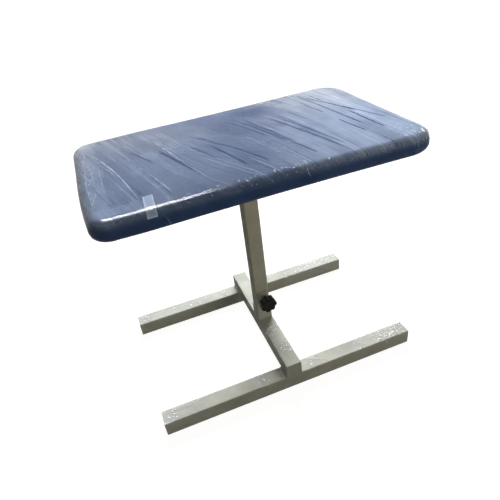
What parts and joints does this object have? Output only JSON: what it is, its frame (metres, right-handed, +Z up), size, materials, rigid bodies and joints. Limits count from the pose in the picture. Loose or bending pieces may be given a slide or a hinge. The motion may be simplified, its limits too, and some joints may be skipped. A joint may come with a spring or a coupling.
{
  "type": "height-adjustable padded gymnastics stand",
  "caption": "Padded rectangular top on a square telescopic column with a star clamp knob, on an H-shaped base of square tube.",
  "frame": {"origin": "on the floor, at the middle of the base, on the column's axis", "axes": "+Z up, X along the padded top and the foot bars, clamp knob on the -Y side"},
  "size_m": [0.876, 0.55, 0.7418],
  "materials": {
    "base_paint": "gloss",
    "column_paint": "satin",
    "zinc": "satin",
    "knob_plastic": "matt",
    "cap_plastic": "matt",
    "plywood": "raw",
    "foam": "open cell",
    "vinyl": "satin"
  },
  "bodies": {
    "base": {"front_foot_bar": "base_paint", "rear_foot_bar": "base_paint", "foot_bar_end_plates": "base_paint", "cross_bar": "base_paint", "cross_bar_end_plates": "base_paint", "cross_bar_welds": "base_paint", "post_socket": "base_paint", "socket_welds": "base_paint", "inner_post": "zinc"},
    "top": {"outer_column": "column_paint", "column_top_plate": "column_paint", "column_top_weld": "column_paint", "clamp_block": "column_paint", "clamp_block_weld": "column_paint", "front_support_rail": "column_paint", "rear_support_rail": "column_paint", "rail_welds": "column_paint", "rail_end_caps": "cap_plastic", "board_bolts": "zinc", "bolt_washers": "zinc", "tee_nuts": "zinc", "plywood_board": "plywood", "foam_pad": "foam", "vinyl_cover": "vinyl"},
    "stud": {"clamp_stud": "zinc"},
    "knob": {"clamp_knob": "knob_plastic"}
  },
  "joints": [
    {"name": "height", "type": "slide", "parent": "base", "child": "top", "axis": [0, 0, 1], "range_m": [0, 0.3]},
    {"name": "stud_travel", "type": "slide", "parent": "top", "child": "stud", "axis": [0, -1, 0], "range_m": [0, 0.003]},
    {"name": "knob_turn", "type": "hinge", "parent": "stud", "child": "knob", "pos_m": [0, -0.06, 0.2013], "axis": [0, -1, 0], "range_deg": [0, 720]}
  ],
  "couplings": [
    {"joint": "stud_travel", "follows": "knob_turn", "m_per_rad": 0.00023873}
  ]
}
